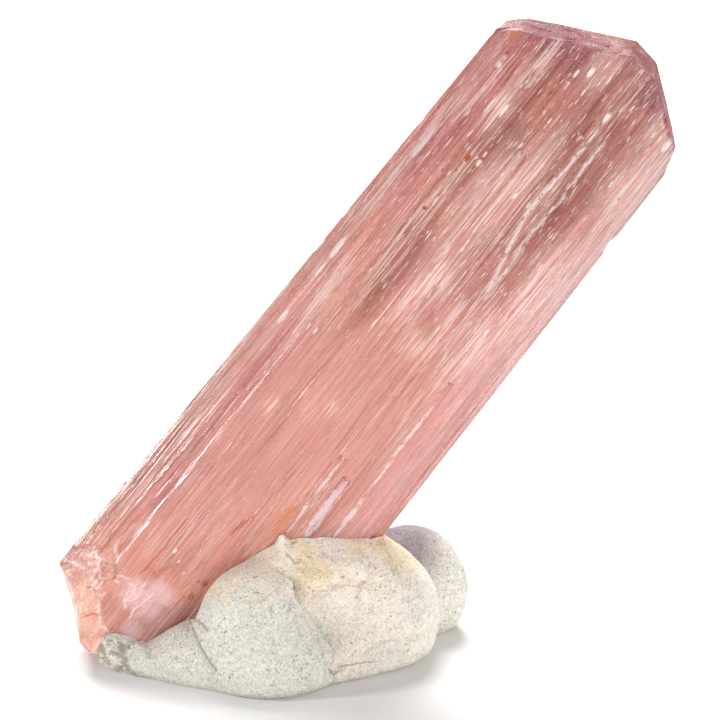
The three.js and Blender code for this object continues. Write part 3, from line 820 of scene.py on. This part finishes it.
def spodumene_material(settings):
    """Clear lithium pyroxene, pink from traces of manganese. Its growth striations and
    cleavage cracks scatter light in streaks along its length, iron stains a few of them,
    and the broken foot is paler and peach. The eye sees a streaky, half-clear salmon glass."""
    material, node = new_material("striated_pink_spodumene")
    turn = Matrix((AXIS_U, AXIS_W, AXIS_V)).transposed().to_euler()
    local = node("Mapping", {
        "Vector": node("TexCoord", {}, "Object"), "Location": tuple(BLADE_FOOT * MM),
        "Rotation": tuple(turn), "Scale": (MM, MM, MM),
    }, vector_type="TEXTURE")
    w = node("SeparateXYZ", {0: local}, 1)
    v = node("SeparateXYZ", {0: local}, 2)
    worked = {
        name: node("Attribute", {}, "Fac", attribute_name=name)
        for name in ("crown", "broken", "seam", "white_line", "stain_line")
    }

    # Each pattern: features per millimetre across, along and through, where it starts, and detail
    patterns = {}
    for name, per_mm, shift, detail in (
        ("zones", (0.16, 0.035, 0.15), (0, 0, 0), 3.0),
        ("bands", (0.9, 0.025, 0.8), (0, 9, 2), 3.0),
        ("lines", (2.4, 0.06, 2.2), (7, 1, 4), 2.0),
        ("hair", (5.2, 0.06, 4.4), (3, 5, 1), 1.0),
        ("threads", (4.2, 0.10, 3.4), (5, 5, 5), 1.0),
        ("dashes", (4.6, 0.45, 3.6), (2, 7, 1), 1.0),
        ("knots", (0.35, 0.06, 0.3), (11, 2, 0), 1.0),
        ("ragged", (2.2, 0.8, 1.0), (1, 8, 3), 3.0),
        ("veil", (1.8, 0.9, 1.0), (2, 2, 9), 4.0),
        ("sparkle", (2.6, 2.0, 2.0), (9, 3, 3), 2.0),
        ("curls", (1.9, 1.2, 1.5), (6, 1, 2), 2.0),
    ):
        place = node("VectorMath", {0: local, 1: per_mm, 2: shift}, **TIMES_PLUS)
        patterns[name] = node("TexNoise", {"Vector": place, "Scale": 1.0, "Detail": detail, "Roughness": 0.6})
    ragged = node("Math", {0: patterns["ragged"], 1: 0.5}, **MINUS)
    ragged = node("Math", {0: ragged, 1: 1.6}, **TIMES)
    patch = functools.partial(patches, node, local, ragged)
    curl = node("Math", {0: patterns["curls"], 1: 0.5}, **MINUS)
    curl = node("Math", {0: curl}, operation="ABSOLUTE")

    # Shares worked out from the patterns: each rises from nought to one between two values
    shares = {}
    for name, source, low, high in (
        ("front", v, 1.0, 3.0), ("low", w, 32.0, 12.0), ("busy", w, 45.0, 86.0),
        ("threads", patterns["threads"], 0.50, 0.58), ("knots", patterns["knots"], 0.50, 0.66),
        ("glint_flecks", patterns["dashes"], 0.655, 0.685), ("gloom", patterns["dashes"], 0.34, 0.30),
        ("veil", patterns["veil"], 0.36, 0.48), ("stripes", patterns["hair"], 0.36, 0.64),
        ("curls", curl, 0.032, 0.012),
    ):
        shares[name] = node("MapRange", {"Value": source, "From Min": low, "From Max": high}, **SMOOTH)
    busy = node("Math", {0: shares["busy"], 1: 0.45, 2: 0.55}, **TIMES_PLUS)

    # Broad zones of colour: where, how strongly, and the colour
    colour = lay_over(node, linear("#DD9C8D"), (
        (patch(BROWN, 0.8), 1.0, "#A86454"), (patch(MAUVE, 0.8), 0.6, "#C66E76"),
        # Painted sheen: the paler band along the right edge stands in for light on that side
        (patch(RIGHT_EDGE_SHEEN, 0.8), 0.8, "#F4B0AA"), (patch(ROSE, 0.8), 0.7, "#D07872"),
        (shares["low"], 0.45, "#E99B80"), (patch(TIP, 0.8), 0.9, "#862E3A"),
        # Painted shade: the roof faces are dark rose, partly their own colour and partly shade against the
        # light from above
        (worked["crown"], 0.9, "#A03A46"),
    ))

    # Light and dark growth lines, as a factor on the colour: the pattern, its range, the swing
    # each way, and whether it is stronger further up
    tone = 0.88
    for name, low, high, swing, upwards in (
        ("lines", 0.38, 0.62, 0.15, True), ("hair", 0.40, 0.60, 0.18, True),
        ("bands", 0.30, 0.70, 0.08, False), ("zones", 0.30, 0.70, 0.06, False),
    ):
        step = node("MapRange", {
            "Value": patterns[name], "From Min": low, "From Max": high, "To Min": -swing, "To Max": swing,
        }, **SMOOTH)
        step = node("Math", {0: step, 1: busy}, **TIMES) if upwards else step
        tone = node("Math", {0: step, 1: tone}, **PLUS)
    tone = node("CombineColor", {0: tone, 1: tone, 2: tone})
    colour = node("Mix", {0: 1.0, 6: colour, 7: tone}, blend_type="MULTIPLY", **BLEND)

    # Flaws, deposits, painted glints and painted highlights, laid one over another: two shares that are
    # multiplied, strength, colour
    # Bright knots of lines: partly cleavage cracks, partly painted highlights on the striations, and painted
    # highlights along the left and right edges
    knots = node("Math", {0: shares["knots"], 1: busy}, **TIMES)
    knots = node("Math", {0: knots, 1: 0.8}, **TIMES)
    groups = patch(BRIGHT, 0.9)
    knots = node("Math", {0: knots, 1: groups}, operation="MAXIMUM")
    front = shares["front"]
    frost = node("Math", {0: patch(FROST, 0.4), 1: front}, **TIMES)
    colour = lay_over(node, colour, [
        (node("Math", {0: share, 1: other}, **TIMES), strength, hexa) for share, other, strength, hexa in (
            (groups, shares["busy"], 0.35, "#F2CCBE"),
            (shares["gloom"], busy, 0.6, "#8A4A3E"),
            (knots, shares["threads"], 0.85, "#FCE8E0"),
            # Painted glints: short white flecks, more of them further up
            (shares["glint_flecks"], shares["busy"], 0.9, "#FFFAF6"),
            # Painted glints
            (patch(PAINTED_GLINTS, 0.35), front, 1.0, "#FFFDFB"),
            (frost, shares["veil"], 1.0, "#FFF8FE"),
            (patch(AMBER, 0.7), front, 0.65, "#DE8A56"),
            (patch(TIP, 0.8), shares["curls"], 0.25, "#F4D6DA"),
            (worked["broken"], 1.0, 0.5, "#E6A394"),
            (patch(PEACH, 0.6), worked["broken"], 0.85, "#F6C2A4"),
            (patch(ORANGE, 0.7), front, 0.5, "#E8A064"),
            (patch(PLUM, 0.5), worked["broken"], 0.8, "#B98288"),
            (worked["seam"], shares["veil"], 0.7, "#FFEEDD"),
            (patch(HAZE, 0.8), front, 0.8, "#F6D2DA"),
            (patch(GLITTER, 0.7), shares["curls"], 1.0, "#FFFCFF"),
            (worked["broken"], shares["curls"], 0.8, "#FFF0E2"),
            (worked["white_line"], shares["veil"], 1.0, "#FFFAF6"),
            (worked["stain_line"], front, 1.0, "#B84E10"),
            (patch(RUST, 0.3), front, 1.0, "#A83C00"),
        )
    ])

    rough = node("MapRange", {
        "Value": patterns["bands"], "From Min": 0.3, "From Max": 0.7,
        "To Min": settings.roughness - 0.06, "To Max": settings.roughness + 0.10,
    }, **SMOOTH)
    rough = node("Math", {0: frost, 1: 0.3, 2: rough}, **TIMES_PLUS)
    rough = node("Math", {0: worked["crown"], 1: 0.6, 2: rough}, use_clamp=True, **TIMES_PLUS)
    relief = node("Math", {0: shares["stripes"], 1: 0.5, 2: shares["threads"]}, **TIMES_PLUS)
    relief = node("Math", {0: patterns["sparkle"], 1: worked["broken"], 2: relief}, **TIMES_PLUS)
    bump = node("Bump", {"Strength": 0.6, "Distance": 0.06 * MM, "Height": relief})
    shader = node("BsdfPrincipled", {
        "Base Color": colour, "Roughness": rough, "Normal": bump,
        "Transmission Weight": settings.clearness, "IOR": SPODUMENE_IOR,
    })
    body = node("VolumeAbsorption", {"Color": linear("#E69A90"), "Density": settings.absorption})
    node("OutputMaterial", {"Surface": shader, "Volume": body})
    return material


def putty_material(settings):
    """Old mineral putty, a chalk filler in oil, kneaded by hand. The eye sees a dull, cream to
    grey skin with the ridges of a thumb, small dark pits and yellowed oily patches."""
    material, node = new_material("kneaded_chalk_putty")
    local = node("Mapping", {
        "Vector": node("TexCoord", {}, "Object"), "Scale": (MM, MM, MM),
    }, vector_type="TEXTURE")
    worked = {
        name: node("Attribute", {}, "Fac", attribute_name=name) for name in ("grey", "recess_shade", "mauve")
    }

    # Each pattern: features per millimetre across, back and up, and detail. Skin ridges lie about
    # half a millimetre apart and break up into beads, and grains are 0.15 mm
    patterns = {}
    for name, per_mm, detail in (
        ("broad", (0.16, 0.16, 0.16), 3.0), ("cloud", (0.45, 0.45, 0.45), 5.0),
        ("mottle", (1.2, 1.2, 1.2), 4.0), ("grain", (4.0, 4.0, 4.0), 3.0),
        ("beads", (3.0, 2.2, 2.4), 1.0), ("pits", (2.6, 2.6, 3.4), 3.0), ("wear", (0.8, 0.8, 0.8), 3.0),
    ):
        place = node("VectorMath", {0: local, 1: per_mm}, operation="MULTIPLY")
        patterns[name] = node("TexNoise", {"Vector": place, "Scale": 1.0, "Detail": detail, "Roughness": 0.7})
    greyer = node("Math", {0: patterns["cloud"], 1: 0.5}, **MINUS)
    greyer = node("Math", {0: greyer, 1: 1.3, 2: worked["grey"]}, **TIMES_PLUS)
    vein = node("Math", {0: patterns["mottle"], 1: 0.5}, **MINUS)
    vein = node("Math", {0: vein}, operation="ABSOLUTE")
    # Pits lie closer together where the clouds are grey
    level = node("MapRange", {
        "Value": patterns["cloud"], "From Min": 0.35, "From Max": 0.65, "To Min": 0.65, "To Max": 0.595,
    }, **SMOOTH)
    pitted = node("Math", {0: patterns["pits"], 1: level}, **MINUS)

    # Shares worked out from the patterns: each rises from nought to one between two values
    shares = {}
    for name, source, low, high in (
        ("grey", greyer, 0.1, 0.9), ("yellow", patterns["broad"], 0.40, 0.58),
        ("high", node("SeparateXYZ", {0: local}, 2), 11.0, 17.0), ("pits", pitted, 0.0, 0.04),
        ("open", patterns["wear"], 0.38, 0.5), ("split", patterns["wear"], 0.58, 0.66),
        ("vein", vein, 0.012, 0.004),
    ):
        shares[name] = node("MapRange", {"Value": source, "From Min": low, "From Max": high}, **SMOOTH)
    yellow = node("Math", {0: shares["yellow"], 1: shares["high"]}, **TIMES)
    # Painted shade in cracks, seams, flap grooves, wrinkles and between crumbs, where the wear opens them
    recess_shade = node("Math", {0: worked["recess_shade"], 1: shares["open"]}, **TIMES)
    hairline = node("Math", {0: shares["vein"], 1: shares["split"]}, **TIMES)
    ridged = node("Math", {0: shares["grey"], 1: 0.75, 2: 0.25}, **TIMES_PLUS)

    # Painted light and shade on the skin: the colour is lighter where the mottle, grain and beads rise in the
    # bump and darker where they sink, on top of their own uneven tone
    shade = 1.0
    for name, swing, how_much in (("mottle", 0.05, 1.0), ("grain", 0.08, 1.0), ("beads", 0.11, ridged)):
        step = node("MapRange", {
            "Value": patterns[name], "From Min": 0.36, "From Max": 0.64, "To Min": -swing, "To Max": swing,
        }, **SMOOTH)
        shade = node("Math", {0: step, 1: how_much, 2: shade}, **TIMES_PLUS)
    shade = node("CombineColor", {0: shade, 1: shade, 2: shade})
    colour = lay_over(node, linear("#FFF3E4"), (
        # The mauve share is painted shade of the blade on the knuckle, with a mauve tint
        (shares["grey"], 1.0, "#EAE6DA"), (yellow, 0.6, "#FCE0AC"), (worked["mauve"], 0.95, "#A3969C"),
        (recess_shade, 0.7, "#7A6248"), (hairline, 0.5, "#94784E"), (shares["pits"], 0.8, "#96703E"),
    ))
    colour = node("Mix", {0: 1.0, 6: colour, 7: shade}, blend_type="MULTIPLY", **BLEND)

    relief = patterns["grain"]
    for source, height in (
        (patterns["beads"], 1.0), (patterns["mottle"], 1.2), (hairline, -0.3), (shares["pits"], -0.5),
    ):
        relief = node("Math", {0: source, 1: height, 2: relief}, **TIMES_PLUS)
    bump = node("Bump", {"Strength": 1.0, "Distance": 0.32 * MM, "Height": relief})
    shader = node("BsdfPrincipled", {
        "Base Color": colour, "Roughness": settings.roughness, "IOR": PUTTY_IOR, "Normal": bump,
    })
    node("OutputMaterial", {"Surface": shader})
    return material


def paper_material(settings):
    """Matt white paper sweep: the eye sees even white that takes a soft shadow."""
    material, node = new_material("white_paper_sweep")
    tooth = node("TexNoise", {"Vector": node("TexCoord", {}, "Object"), "Scale": 900.0})
    bump = node("Bump", {"Strength": 0.02, "Distance": 0.05 * MM, "Height": tooth})
    shader = node("BsdfPrincipled", {
        "Base Color": tuple(settings.paper) + (1.0,), "Roughness": 0.9, "Specular IOR Level": 0.1,
        "Normal": bump,
    })
    node("OutputMaterial", {"Surface": shader})
    return material


class BladeSettings(bpy.types.PropertyGroup):
    """Sizes and finish of the spodumene blade."""
    front_step: bpy.props.FloatProperty(
        name="Front step", description="Distance between grid lines across the front, in mm",
        default=0.14, min=0.05)
    back_step: bpy.props.FloatProperty(
        name="Back step", description="Distance between grid lines across the back, in mm",
        default=0.42, min=0.05)
    rows: bpy.props.IntProperty(
        name="Rows", description="Grid lines along the blade", default=232, min=20)
    roughness: bpy.props.FloatProperty(
        name="Roughness", description="How silky the striated faces are",
        default=0.2, min=0.0, max=1.0, subtype="FACTOR")
    clearness: bpy.props.FloatProperty(
        name="Clearness", description="How much light goes through the blade",
        default=0.6, min=0.5, max=1.0, subtype="FACTOR")
    absorption: bpy.props.FloatProperty(
        name="Absorption", description="How fast the blade's body takes up light, per metre",
        default=40.0, min=0.0)


class MoundSettings(bpy.types.PropertyGroup):
    """Sizes and finish of the putty mound."""
    columns: bpy.props.IntProperty(
        name="Columns", description="Grid lines round the mound", default=580, min=40)
    rows: bpy.props.IntProperty(
        name="Rows", description="Grid lines from the floor to the top", default=150, min=10)
    fit: bpy.props.FloatProperty(
        name="Fit", description="Room between the blade and the putty, in mm", default=0.04, min=0.0)
    roughness: bpy.props.FloatProperty(
        name="Roughness", description="How dull the putty is",
        default=0.85, min=0.0, max=1.0, subtype="FACTOR")


class StageSettings(bpy.types.PropertyGroup):
    """Paper, light and camera."""
    distance: bpy.props.FloatProperty(
        name="Distance", description="Camera to the blade's middle", default=0.56, unit="LENGTH")
    elevation: bpy.props.FloatProperty(
        name="Elevation", description="How far above the level the camera stands",
        default=math.radians(18), subtype="ANGLE")
    width: bpy.props.FloatProperty(
        name="Width", description="What the picture holds at that distance",
        default=0.1044, unit="LENGTH")
    paper: bpy.props.FloatVectorProperty(
        name="Paper", description="Colour of the sweep",
        default=(0.92, 0.92, 0.92), size=3, subtype="COLOR")
    ambient: bpy.props.FloatProperty(
        name="Ambient", description="Even light from all round", default=0.32, min=0.0)
    overhead: bpy.props.FloatProperty(
        name="Overhead", description="Strength of the wide light above and behind", default=5.2, min=0.0)


class SPODUMENE_OT_add_blade(bpy.types.Operator):
    """Adds the striated spodumene blade in place of its plain solid"""
    bl_idname = "spodumene.add_blade"
    bl_label = "Add blade"

    def execute(self, context):
        """Makes the blade's mesh and material and rides it on the body."""
        settings = context.scene.spodumene_blade
        blade = show(blade_mesh(settings.front_step, settings.back_step, settings.rows))
        blade.data.materials.append(spodumene_material(settings))
        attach(blade, "root")
        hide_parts("crystal")
        return {"FINISHED"}


class SPODUMENE_OT_add_mound(bpy.types.Operator):
    """Adds the kneaded putty mound with the blade's socket in it"""
    bl_idname = "spodumene.add_mound"
    bl_label = "Add putty mound"

    def execute(self, context):
        """Makes the mound, cuts the blade's socket out of it and rides it on the body."""
        settings = context.scene.spodumene_mound
        mound = show(mound_mesh(settings.columns, settings.rows))
        socket = show(socket_mesh(settings.fit))
        cut = mound.modifiers.new("socket", "BOOLEAN")
        cut.operation = "DIFFERENCE"
        cut.solver = "EXACT"
        cut.object = socket
        context.view_layer.update()
        carved = bpy.data.meshes.new_from_object(mound.evaluated_get(context.evaluated_depsgraph_get()))
        mound.modifiers.clear()
        mound.data = carved
        bpy.data.objects.remove(socket)
        carved.set_sharp_from_angle(angle=PUTTY_SHARP)
        carved.materials.clear()
        carved.materials.append(putty_material(settings))
        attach(mound, "root")
        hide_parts("putty_mound")
        return {"FINISHED"}


class SPODUMENE_OT_add_stage(bpy.types.Operator):
    """Adds the white sweep, the soft lights and the camera"""
    bl_idname = "spodumene.add_stage"
    bl_label = "Add stage"

    def execute(self, context):
        """Makes the paper, the lights and the camera."""
        settings = context.scene.spodumene_stage
        self.add_paper(settings)
        self.add_lights(context, settings)
        self.add_camera(context, settings)
        return {"FINISHED"}

    def add_paper(self, settings):
        """A level square sheet at height nought."""
        half = PAPER_SIZE / 2
        corners = [(-half, -half, 0), (half, -half, 0), (half, half, 0), (-half, half, 0)]
        mesh = bpy.data.meshes.new("paper_sweep")
        mesh.from_pydata(corners, [], [(0, 1, 2, 3)])
        mesh.materials.append(paper_material(settings))
        show(mesh)

    def add_lights(self, context, settings):
        """A wide even light above and behind, and narrow soft boxes for the blade's glints."""
        overhead = bpy.data.lights.new("overhead_light", "SUN")
        overhead.energy = settings.overhead
        overhead.angle = math.radians(40)
        lamps = (
            (overhead, (-0.12, 0.66, 0.78)),
            (self.soft_box("left_strip", 0.10, 1.2), (-0.47, -0.12, 0.24)),
            (self.soft_box("front_box", 0.20, 3.1), (0.42, -0.62, 0.10)),
            (self.soft_box("right_strip", 0.08, 0.3), (0.45, 0.05, 0.35)),
        )
        for light, at in lamps:
            holder = bpy.data.objects.new(light.name, light)
            holder.location = at
            holder.rotation_euler = (LIT_POINT - Vector(at)).to_track_quat("-Z", "Y").to_euler()
            context.scene.collection.objects.link(holder)
        world = bpy.data.worlds.new("studio_air")
        world.use_nodes = True
        background = world.node_tree.nodes["Background"]
        background.inputs["Color"].default_value = linear("#FFFFFF")
        background.inputs["Strength"].default_value = settings.ambient
        context.scene.world = world
        context.scene.view_settings.view_transform = "Standard"
        context.scene.cycles.use_denoising = True
        context.scene.cycles.max_bounces = 16
        context.scene.cycles.transmission_bounces = 12

    def soft_box(self, name, size, power):
        """A square area light: its side in metres and its power in watts."""
        light = bpy.data.lights.new(name, "AREA")
        light.shape = "SQUARE"
        light.size = size
        light.energy = power
        return light

    def add_camera(self, context, settings):
        """The photograph's view: from the front, a little above the level."""
        back = Vector((0, -math.cos(settings.elevation), math.sin(settings.elevation)))
        camera = bpy.data.cameras.new("camera")
        camera.sensor_width = 36.0
        camera.lens = camera.sensor_width * settings.distance / settings.width
        camera.clip_end = 20.0
        holder = bpy.data.objects.new("camera", camera)
        holder.location = CAMERA_AIM + back * settings.distance
        holder.rotation_euler = (-back).to_track_quat("-Z", "Y").to_euler()
        context.scene.collection.objects.link(holder)
        context.scene.camera = holder


class SPODUMENE_PT_panel(bpy.types.Panel):
    """Lists the steps in the sidebar"""
    bl_label = "Spodumene"
    bl_idname = "SPODUMENE_PT_panel"
    bl_space_type = "VIEW_3D"
    bl_region_type = "UI"
    bl_category = "Spodumene"

    def draw(self, context):
        """A box for each step: its settings, then its button."""
        for settings, step in (
            (context.scene.spodumene_blade, SPODUMENE_OT_add_blade),
            (context.scene.spodumene_mound, SPODUMENE_OT_add_mound),
            (context.scene.spodumene_stage, SPODUMENE_OT_add_stage),
        ):
            box = self.layout.box()
            for name in settings.__annotations__:
                box.prop(settings, name)
            box.operator(step.bl_idname)


CLASSES = (
    BladeSettings, MoundSettings, StageSettings,
    SPODUMENE_OT_add_blade, SPODUMENE_OT_add_mound, SPODUMENE_OT_add_stage, SPODUMENE_PT_panel,
)


def register():
    """Makes the classes known and hangs the settings on the scene."""
    for item in CLASSES:
        bpy.utils.register_class(item)
    bpy.types.Scene.spodumene_blade = bpy.props.PointerProperty(type=BladeSettings)
    bpy.types.Scene.spodumene_mound = bpy.props.PointerProperty(type=MoundSettings)
    bpy.types.Scene.spodumene_stage = bpy.props.PointerProperty(type=StageSettings)


def unregister():
    """Takes back what register did."""
    del bpy.types.Scene.spodumene_stage
    del bpy.types.Scene.spodumene_mound
    del bpy.types.Scene.spodumene_blade
    for item in reversed(CLASSES):
        bpy.utils.unregister_class(item)


def main():
    """Runs each step once."""
    register()
    bpy.ops.spodumene.add_blade()
    bpy.ops.spodumene.add_mound()
    bpy.ops.spodumene.add_stage()


if __name__ == "__main__":
    main()
